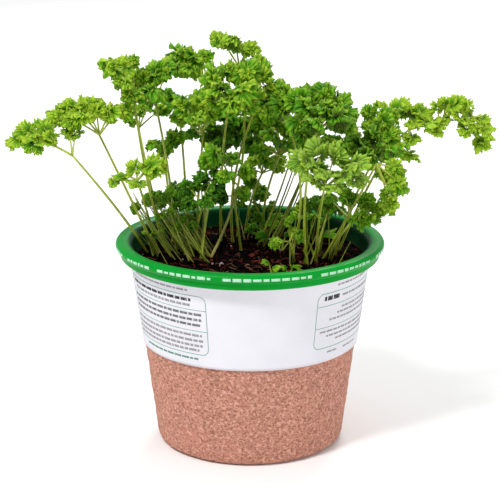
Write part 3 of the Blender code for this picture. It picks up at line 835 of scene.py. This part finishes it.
# radii at the two ends and other lengths in mm
stalkStyle = {
    "steps": 30,
    "sides": 12,
    "ribDepth": 0.07,
    "sunk": 1.5,
    "bow": (0.7, 0.7, 0.0),
    "radius": (0.68, 0.48),
    "footSwell": 0.18,
    "rust": 0.35,
    "rachis": (0.62, 0.5),
    "stalklet": (0.48, 0.20),
    "stalkletArch": 0.9,
    "stalkletInto": 0.12,  # how far it runs into its leaflet, over the breadth
}


# leaf surface: toneAndShade = tone + patches + veins + painted shade, darker in the pleat valleys and at the
# fans' feet and lighter on the ridges and more towards the margin; the colour runs with it from dark over mid
# to bright, and the teeth end in olive
def leafMaterial(name, under):
    n = Nodes(name)
    side, outward = n.axes(n.across())[:2]
    tone, pleatShade, grey = n.parts(n.attribute("tone"))[:3]
    wobble = n.maths("MULTIPLY", n.noise(180, 2), 0.08)
    veins = n.maths("FRACT", n.maths("MULTIPLY", n.maths("ADD", side, wobble), 6.0))
    veins = n.between(n.maths("ABSOLUTE", n.maths("SUBTRACT", veins, 0.5)), 0.02, 0.16, 1.0, 0.0)
    veins = n.maths("MULTIPLY", veins, n.between(outward, 0.2, 1.0, 1.0, 0.25))
    patch = n.noise(260, 3, 0.6)
    toneAndShade = n.maths("ADD", tone, n.maths("MULTIPLY", n.maths("SUBTRACT", patch, 0.5), 0.5))
    toneAndShade = n.maths("ADD", toneAndShade, n.maths("MULTIPLY", veins, 0.10))
    # painted shade: pleat valleys darker, ridges lighter
    toneAndShade = n.maths("ADD", toneAndShade, n.between(pleatShade, 0.1, 0.9, -0.13, 0.13))
    # painted shade at the fans' feet, lighter towards the margin
    toneAndShade = n.maths("ADD", toneAndShade, n.between(outward, 0.15, 1.0, -0.26, 0.22), clamp=True)
    style = leafStyle
    if under:
        colour = n.blend(toneAndShade, darker(style["under"], 0.55), style["under"])
        colour = n.blend(n.maths("MULTIPLY", veins, 0.5), colour, (0.42, 0.55, 0.20))
    else:
        colour = n.blend(n.between(toneAndShade, 0.0, 0.5), style["dark"], style["mid"])
        colour = n.blend(n.between(toneAndShade, 0.42, 1.0), colour, style["bright"])
        share = n.maths("MULTIPLY", grey, n.between(patch, 0.3, 0.7, 0.35, 0.8))
        colour = n.blend(share, colour, style["greyUnder"])
    tips = n.maths("MULTIPLY", n.between(outward, 0.95, 1.0), n.between(patch, 0.45, 0.6, 0.1, 0.8))
    colour = n.blend(tips, colour, style["tip"])
    crinkle = n.noise(700, 3, 0.6)
    bumpy = n.relief(crinkle, 0.12 * mm, 0.6, n.relief(veins, 0.25 * mm, 0.8))
    low, high = (0.70, 0.80) if under else (0.42, 0.56)
    n.finish(colour, n.between(crinkle, 0.3, 0.7, low, high), bumpy, 0.26)
    n.glowThrough(n.blend(toneAndShade, (0.12, 0.42, 0.002), (0.58, 0.88, 0.015)), 0.45)
    return n.material


# stem surface: stripes = sin(10 pi round it), pale on olive; shade, rust and tan come from the tone attribute
def stemMaterial():
    n = Nodes("stemGreen")
    shade, rust, tan = n.parts(n.attribute("tone"))[:3]
    side = n.axes(n.across())[0]
    stripe = n.between(n.maths("SINE", n.maths("MULTIPLY", side, 31.416)), -0.6, 0.9)
    patch = n.noise(120, 3, 0.6)
    colour = n.blend(stripe, leafStyle["stemOlive"], leafStyle["stem"])
    colour = n.blend(n.between(patch, 0.40, 0.72, 0.0, 0.6), colour, leafStyle["stemPale"])
    colour = n.blend(n.between(shade, 0.0, 0.5, 0.75, 0.0), colour, leafStyle["stemShade"])
    colour = n.blend(n.maths("MULTIPLY", rust, n.between(patch, 0.35, 0.6)), colour, leafStyle["rust"])
    colour = n.blend(tan, colour, leafStyle["tan"])
    n.finish(colour, n.between(patch, 0.3, 0.7, 0.34, 0.5), n.relief(stripe, 0.12 * mm, 0.8), 0.45)
    n.glowThrough(colour, 0.15)
    return n.material


# parabola through the knee: (1-t)^2 start + 2t(1-t) pull + t^2 end
def bendPath(start, knee, end, count):
    start, knee, end = (np.array(p, float) for p in (start, knee, end))
    below, above = np.linalg.norm(knee - start), np.linalg.norm(end - knee)
    s = below / (below + above)
    pull = (knee - start * (1 - s) ** 2 - end * s**2) / (2 * s * (1 - s))
    t = np.linspace(0, 1, count)[:, None]
    return start * (1 - t) ** 2 + pull * (2 * t * (1 - t)) + end * t**2


# tube: point(i, a) = path(i) + radius(i) (cos a side + sin a up), closed by a point at each end
def tube(path, radius, sides=10, ribs=0.0):
    path = np.asarray(path, float)
    radius = np.asarray(radius, float) + np.zeros(len(path))
    ahead = unit(np.gradient(path, axis=0))
    guide = np.eye(3)[np.argmin(np.abs(ahead.mean(axis=0)))]
    side = unit(np.cross(ahead, guide))
    up = np.cross(side, ahead)
    a = np.linspace(0, 2 * math.pi, sides, endpoint=False)
    wide = radius[:, None] * (1 + ribs * np.cos(5 * a))
    spokes = np.cos(a)[:, None] * side[:, None] + np.sin(a)[:, None] * up[:, None]
    ring = path[:, None] + wide[..., None] * spokes
    rows = len(path)
    points = np.vstack([ring.reshape(-1, 3), path[:1], path[-1:]])
    foot, head = np.arange(sides), np.arange(sides) + (rows - 1) * sides
    quads = gridFaces(rows, sides, round=True)
    caps = np.vstack([poleFaces(foot, rows * sides, turned=True), poleFaces(head, rows * sides + 1)])
    along = np.repeat(np.linspace(0, 1, rows), sides)
    uv = np.stack([np.tile(a / (2 * math.pi), rows), along], axis=-1)
    uv = np.vstack([uv, [[0.5, 0], [0.5, 1]]])
    return points, quads, caps, uv


# joins several tubes into one mesh piece
def stack(tubes, tones):
    points, quads, caps, uvs, shade, first = [], [], [], [], [], 0
    for (p, q, c, uv), tone in zip(tubes, tones):
        points.append(p)
        quads.append(q + first)
        caps.append(c + first)
        uvs.append(uv)
        rust = tone[1] * np.clip(1 - uv[:, 1] * 5, 0, 1)
        tan = tone[2] * np.clip(1.6 - uv[:, 1] * 3, 0, 1)
        shade.append(np.stack([np.full(len(p), tone[0]), rust, tan, np.ones(len(p))], axis=-1))
        first += len(p)
    return np.vstack(points), [np.vstack(quads), np.vstack(caps)], np.vstack(uvs), np.vstack(shade)


# one curled fan for every row of the inputs: u runs from foot to margin, v from edge to edge
# point = foot + u reach(v) (cos(v spread) forward + sin(v spread) sideways) + rise(u, v) upward
# reach(v) = length (1 - fall v^2), longer on each pleat's ridge so that the pleats end in teeth
# rise = length (cup u - droop u^2 + pleat u cos(pleats v) + ruffle u^1.6 sin(waves v) + curl at the margin)
def fans(form, foot, forward, upward, length, spread, phase, vigour):
    fall, marginFrom, secondTooth = 0.22, 0.45, 0.35
    u = np.linspace(0.02, 1, form["rows"])[None, :, None] ** 0.85
    v = np.linspace(-1, 1, form["columns"])[None, None, :]
    sideways = np.cross(upward, forward)
    size, half, live = length[:, None, None], spread[:, None, None], vigour[:, None, None]
    phases = [phase[:, k][:, None, None] for k in range(6)]
    pleat = 2 * math.pi * form["pleats"] * v + 0.5 * np.sin(2.1 * v + phases[0]) + phases[1]
    wave = form["waves"] * math.pi * v + phases[2]
    edge = np.clip((u - marginFrom) / (1 - marginFrom), 0, 1)
    teeth = 1 + form["toothDepth"] * edge * (np.cos(pleat) + secondTooth * np.cos(2.6 * pleat + phases[3]))
    reach = (1 - fall * v**2) * (1 + 0.08 * np.cos(3 * math.pi * v + phases[4])) * teeth
    ruffle = form["ruffle"] * np.sin(wave) * u**1.6 + form["pleatDepth"] * np.cos(pleat) * u**0.8
    ruffle = ruffle + form["curl"] * np.sin(2.3 * wave + phases[3]) * edge**1.5
    rise = live * ruffle + form["cup"] * u - form["droop"] * u**2.2 * (1 + 0.5 * np.sin(phases[5]))
    lean = 0.14 * live * np.cos(wave + 0.7) * u**2 + 0.05 * np.sin(2.3 * wave + phases[3]) * edge
    out = u * reach * (1 - 0.10 * live * np.abs(np.sin(wave)) * u**2)
    angle = v * half + lean
    points = foot[:, None, None] + (size * out * np.cos(angle))[..., None] * forward[:, None, None]
    points = points + (size * out * np.sin(angle))[..., None] * sideways[:, None, None]
    points = points + (size * rise)[..., None] * upward[:, None, None]
    uv = np.stack(np.broadcast_arrays(v * 0.5 + 0.5, u), axis=-1) + np.zeros((len(foot), 1, 1, 2))
    # pleatShade is 1 on each pleat's ridge and 0 in its valley; the leaf material reads it as painted shade
    pleatShade = 0.5 + 0.5 * np.cos(pleat) + 0 * u
    return points, uv, pleatShade


# a leaflet's heading and upper face: it leaves along its stalklet and levels out
def tuftAxes(middle, support):
    along = unit(middle - support)
    along = unit(along * (1, 1, leafStyle["flatten"]) + 1e-6)
    out = unit(np.array([middle[0], middle[1], 0.0]))
    face = np.array(leafStyle["faceUp"]) + out * leafStyle["faceOut"]
    return along, unit(face - along * (face @ along))


# the fork or rachis point that bears a tuft
def bearer(leaf, tuft):
    supports = [leaf["fork"]] + leaf.get("rachis", [])
    return np.array(supports[tuft[4] if len(tuft) > 4 else 0], float)


# the fans of one blade, in rings round the middle of each leaflet
def bladeFans(leaf, seed):
    form, by = leafForms[leaf.get("form", "curly")], fanScatter
    draw = np.random.default_rng(seed)
    rows = []
    for tuft in leaf["tufts"]:
        middle, breadth = np.array(tuft[:3], float), tuft[3]
        along, face = tuftAxes(middle, bearer(leaf, tuft))
        face = unit(face + draw.normal(size=3) * by["face"])
        along = unit(along - face * (face @ along))
        middle = middle - face * breadth * 0.05
        for count, away, reach, pitch, half, shade in form["rings"]:
            heading = (np.arange(count) + draw.uniform(0, 1)) * 2 * math.pi / count
            heading = heading + draw.uniform(-by["heading"], by["heading"], count)
            upward = np.repeat(face[None], count, axis=0)
            forward = spun(np.repeat(along[None], count, axis=0), upward, heading)
            ahead = 1 + (form["stretch"] - 1) * np.cos(heading)
            foot = middle + forward * (breadth * away * ahead)[:, None]
            foot = foot + draw.normal(size=(count, 3)) * breadth * by["foot"]
            sideways = np.cross(upward, forward)
            lift = np.radians(-pitch) + draw.uniform(-by["pitch"], by["pitch"], count)
            forward, upward = spun(forward, sideways, lift), spun(upward, sideways, lift)
            upward = spun(upward, forward, draw.uniform(-by["roll"], by["roll"], count))
            length = breadth * reach * ahead * draw.uniform(*by["reach"], count)
            spread = np.radians(half) * draw.uniform(*by["spread"], count)
            # the ring's painted shade goes into the fans' tone
            tone = leaf["tone"] + shade + draw.uniform(-by["tone"], by["tone"], count)
            rows.append((foot, forward, upward, length, spread, tone))
    foot, forward, upward, length, spread, tone = (np.concatenate(column) for column in zip(*rows))
    phase = draw.uniform(0, 2 * math.pi, (len(foot), 6))
    vigour = draw.uniform(*by["vigour"], len(foot))
    return *fans(form, foot, forward, upward, length, spread, phase, vigour), tone


def makeBlade(name, leaf, seed, materials, node=None):
    points, uv, pleatShade, tone = bladeFans(leaf, seed)
    finishBlade(f"{name}_curls", points, uv, pleatShade, tone, leaf.get("pale", 0.0), materials, node)


# makes the fans into one piece with an upper and an under side
def finishBlade(name, points, uv, pleatShade, tone, pale, materials, node=None):
    count, rows, columns = points.shape[:3]
    one = gridFaces(rows, columns)[:, ::-1]
    faces = (one[None] + rows * columns * np.arange(count)[:, None, None]).reshape(-1, 4)
    shade = np.ones((count, rows, columns, 4))
    shade[..., 0] = tone[:, None, None]
    shade[..., 1] = pleatShade
    shade[..., 2] = pale
    piece = meshPiece(name, points.reshape(-1, 3) * mm, [faces], materials, uv=uv.reshape(-1, 2),
                      tone=shade.reshape(-1, 4))
    thicken(piece, leafStyle["thickness"], under=1)
    settle(piece, node)


# the stalk, rachis and stalklets of one leaf, as tubes; the stalk's foot is a little thicker
def leafTubes(leaf, seed):
    draw, style = np.random.default_rng(seed), stalkStyle
    tubes, tones = [], []
    if "root" in leaf:
        x, y = leaf["root"]
        path = bendPath((x, y, groundAt(x, y) - style["sunk"]), leaf["knee"], leaf["fork"], style["steps"])
        t = np.linspace(0, 1, style["steps"])
        bow = np.sin(t * math.pi)[:, None] * draw.uniform(-1.0, 1.0, 3) * style["bow"]
        thick = np.linspace(*style["radius"], style["steps"])
        thick = thick + style["footSwell"] * np.clip(1 - t * 9, 0, 1) ** 1.5
        tubes.append(tube(path + bow, thick, style["sides"], style["ribDepth"]))
        tones.append((0.5, style["rust"], leaf.get("tan", 0.0)))
    supports = [leaf["fork"]] + leaf.get("rachis", [])
    for start, end in zip(supports, supports[1:]):
        tubes.append(tube(np.linspace(start, end, 5), np.linspace(*style["rachis"], 5), 8))
        tones.append((0.5, 0.0, 0.0))
    for tuft in leaf["tufts"]:
        support, middle = bearer(leaf, tuft), np.array(tuft[:3], float)
        end = middle + unit(middle - support) * tuft[3] * style["stalkletInto"]
        path = np.linspace(support, end, 9)
        path[:, 2] += np.sin(np.linspace(0, math.pi, 9)) * draw.uniform(0.0, style["stalkletArch"])
        tubes.append(tube(path, np.linspace(*style["stalklet"], 9), 8))
        tones.append((0.5, 0.0, 0.0))
    return tubes, tones


def makeTubes(name, tubes, tones, material, node=None):
    points, faces, uv, shade = stack(tubes, tones)
    piece = meshPiece(name, points * mm, faces, [material], uv=uv, tone=shade)
    settle(piece, node)


# thin young shoots between the stalks: foot region x0, x1, y0, y1, how the heads lean in x and y, how tall
# they get, how many there are and how many of them bear a curl
shoots = {
    "left": {"feet": (-38, -16, -17, 12), "lean": (-16.0, 2.0), "tall": (13, 30), "count": 44, "rust": 0.9,
             "curls": 14, "tone": 0.34, "size": (4.5, 6.5)},
    "left_edge": {"feet": (-47, -38, -8, 8), "lean": (-9.0, -2.0), "tall": (7, 14), "count": 7, "rust": 0.6,
                  "curls": 2, "tone": 0.5, "size": (4.0, 5.5)},
    "right": {"feet": (17, 41, -26, 2), "lean": (4.5, -2.0), "tall": (12, 26), "count": 16, "rust": 0.4,
              "curls": 6, "tone": 0.45, "size": (4.0, 6.0)},
    "right_back": {"feet": (2, 12, 6, 20), "lean": (10.0, -4.0), "tall": (38, 46), "count": 6, "rust": 0.2,
                   "thick": 1.7, "curls": 0},
    "right_behind": {"feet": (28, 37, 16, 26), "lean": (3.0, 0.0), "tall": (14, 23), "count": 6, "rust": 0.3,
                     "curls": 6, "tone": 0.36, "size": (7.0, 9.5)},
    "middle_back": {"feet": (-12, 12, 22, 44), "lean": (2.0, 0.0), "tall": (8, 18), "count": 9, "rust": 0.3,
                    "curls": 6, "tone": 0.35, "size": (4.5, 6.5)},
}
shootStyle = {
    "within": 47.0,  # mm from the pot's axis to the furthest foot
    "leanOver": 25,  # the height over which a group's lean is counted
    "scatter": 3.2,
    "kneeAt": 0.55,
    "radius": (0.26, 0.42),
    "taper": 0.45,
    "steps": 12,
}

# low leaves lying near the soil: middle, breadth, heading in degrees, tone
lowLeaves = {
    "long_low": [(16, 4, 97.5, 11, 10, 0.30), (9, 6, 97.0, 8, 170, 0.28), (20, 2, 98.0, 7, -10, 0.36)],
    "right_low_leaf": [(33, -1, 98.5, 10, 5, 0.42), (28, 0, 97.5, 7, 175, 0.34)],
    "back_leaf": [(5, 22, 98.5, 10, -20, 0.35), (10, 24, 101.0, 8, 20, 0.4)],
    "seedling_one": [(10.5, -39, 95.5, 6.5, -60, 0.56), (12.5, -38, 94.5, 5.0, 40, 0.5),
                     (9.0, -37, 96.5, 4.5, 150, 0.46)],
    "seedling_two": [(18.5, -39, 95.0, 5.5, 20, 0.5), (16.8, -38, 94.5, 4.0, 160, 0.46)],
}


def makeShoots(materials, stem):
    style = shootStyle
    taper = 1 - style["taper"] * np.linspace(0, 1, style["steps"])
    for i, (name, group) in enumerate(shoots.items()):
        draw = np.random.default_rng(500 + i)
        tubes, tones, tufts = [], [], []
        for k in range(group["count"]):
            x0, x1, y0, y1 = group["feet"]
            x, y = draw.uniform(x0, x1), draw.uniform(y0, y1)
            reach = min(1.0, style["within"] / math.hypot(x, y))
            x, y = x * reach, y * reach
            foot = np.array([x, y, groundAt(x, y)])
            tall = draw.uniform(*group["tall"])
            lean = np.array(group["lean"]) * tall / style["leanOver"] + draw.normal(size=2) * style["scatter"]
            head = foot + (*lean, tall)
            knee = foot * (1 - style["kneeAt"]) + head * style["kneeAt"] + [lean[0] * 0.08, 0, 1.0]
            path = bendPath(foot - (0, 0, 1.0), knee, head, style["steps"])
            thick = draw.uniform(*style["radius"]) * group.get("thick", 1.0)
            tubes.append(tube(path, thick * taper, 7))
            tones.append((draw.uniform(0.05, 0.5), group["rust"] * draw.uniform(0.3, 1.0), 0.0))
            if k < group["curls"]:
                tufts.append((*head, draw.uniform(*group["size"])))
                tufts.append((*(head + draw.normal(size=3) * 2.0), draw.uniform(*group["size"]) * 0.8))
        makeTubes(f"{name}_shoots", tubes, tones, stem)
        if tufts:
            low = tuple(np.mean([t[:3] for t in tufts], axis=0) - (0, 0, 12))
            curls = {"fork": low, "tufts": tufts, "tone": group["tone"]}
            makeBlade(f"{name}_shoot", curls, 550 + i, materials)


# each low leaf is a few pairs of fans lying almost level on short stalks
def makeLowLeaves(materials, stem):
    face = np.array([0.0, -0.35, 0.9])
    for i, (name, blades) in enumerate(lowLeaves.items()):
        draw = np.random.default_rng(600 + i)
        count = 2 * len(blades)
        place = np.array([b[:3] for b in blades], float)
        size, heading, tone = np.array([b[3:] for b in blades], float).T
        heading = np.radians(heading)
        forward = unit(np.stack([np.cos(heading), np.sin(heading), np.full(len(blades), 0.12)], axis=-1))
        upward = unit(face - forward * (forward @ face)[:, None])
        second = unit(spun(forward, upward, np.full(len(blades), 0.7)))
        phase = draw.uniform(0, 2 * math.pi, (count, 6))
        points, uv, pleatShade = fans(leafForms["pleated"], np.tile(place, (2, 1)), np.vstack([forward, second]),
                                 np.tile(upward, (2, 1)), np.concatenate([size, size * 0.6]),
                                 np.full(count, 0.55), phase, np.full(count, 0.8))
        finishBlade(f"{name}_leaf", points, uv, pleatShade, np.tile(tone, 2), 0.0, materials)
        foot = place.mean(axis=0)
        foot[2] = groundAt(foot[0], foot[1]) - 1.0
        tubes = []
        for tip in place + forward * 0.8:
            path = bendPath(foot, (foot + tip) / 2 + (0, 0, 0.6), tip, 8)
            tubes.append(tube(path, np.linspace(0.5, 0.3, 8), 7))
        makeTubes(f"{name}_stem", tubes, [(0.5, 0.2, 0.0)] * len(tubes), stem)


# the far right leaf's stalk also carries the outermost leaflets, which are a node of their own
def makePlant():
    upper, lower, stem = leafMaterial("leafUpper", False), leafMaterial("leafUnder", True), stemMaterial()
    for i, (name, leaf) in enumerate(leaves.items()):
        makeBlade(name, leaf, 100 + i, [upper, lower], f"{name}_blade")
        if name == "outer_right":
            continue
        tubes, tones = leafTubes(leaf, 300 + i)
        if name == "far_right":
            more, moreTones = leafTubes(leaves["outer_right"], 301 + i)
            tubes, tones = tubes + more, tones + moreTones
        makeTubes(f"{name}_stem", tubes, tones, stem, f"{name}_stalk")
    makeShoots([upper, lower], stem)
    makeLowLeaves([upper, lower], stem)


# ---- room: pale floor, soft light and the camera

room = {
    "ambient": 0.55,
    # each lamp: place, aim, size in metres and power
    "lamps": {"keyLight": ((-0.7, -0.9, 1.6), (0, 0, 0.1), 0.4, 24),
              "fillLight": ((1.2, -0.8, 0.8), (0, 0, 0.1), 1.0, 4),
              "backLight": ((0.3, 1.2, 1.2), (0, 0, 0.15), 0.7, 14)},
    "floorSize": 12.0,
    "floorDrop": 0.0002,
    "camera": (0.0, -0.8139, 0.3255),
    "cameraTilt": 74.0,
    "lens": 128.4,
    "sensor": 36.0,
}


def areaLight(name, place, aim, size, power):
    data = bpy.data.lights.new(name, "AREA")
    data.shape = "DISK"
    data.size = size
    data.energy = power
    lamp = bpy.data.objects.new(name, data)
    lamp.location = place
    away = np.array(place) - np.array(aim)
    tilt = math.atan2(math.hypot(away[0], away[1]), away[2])
    lamp.rotation_euler = (tilt, 0.0, math.atan2(away[0], -away[1]))
    bpy.context.scene.collection.objects.link(lamp)


def makeRoom():
    world = bpy.data.worlds.new("softRoom")
    world.use_nodes = True
    world.node_tree.nodes["Background"].inputs["Color"].default_value = (1.0, 1.0, 1.0, 1.0)
    world.node_tree.nodes["Background"].inputs["Strength"].default_value = room["ambient"]
    bpy.context.scene.world = world
    for name, lamp in room["lamps"].items():
        areaLight(name, *lamp)
    bpy.ops.mesh.primitive_plane_add(size=room["floorSize"], location=(0, 0, -room["floorDrop"]))
    ground = bpy.context.active_object
    ground.name = "floor"
    n = Nodes("paleFloor")
    n.finish((0.93, 0.93, 0.93, 1.0), 0.9, specular=0.1)
    ground.data.materials.append(n.material)
    camera = bpy.data.objects.new("camera", bpy.data.cameras.new("camera"))
    camera.location = room["camera"]
    camera.rotation_euler = (math.radians(room["cameraTilt"]), 0.0, 0.0)
    camera.data.lens = room["lens"]
    camera.data.sensor_width = room["sensor"]
    camera.data.clip_start = 0.01
    bpy.context.scene.collection.objects.link(camera)
    bpy.context.scene.camera = camera
    bpy.context.scene.view_settings.view_transform = "Standard"


makeRoom()
print("room ready")
makePot()
makeWrap()
makePrinting()
print("pot and wrap made")
makeSoil()
print("soil made")
makePlant()
print("plant made")
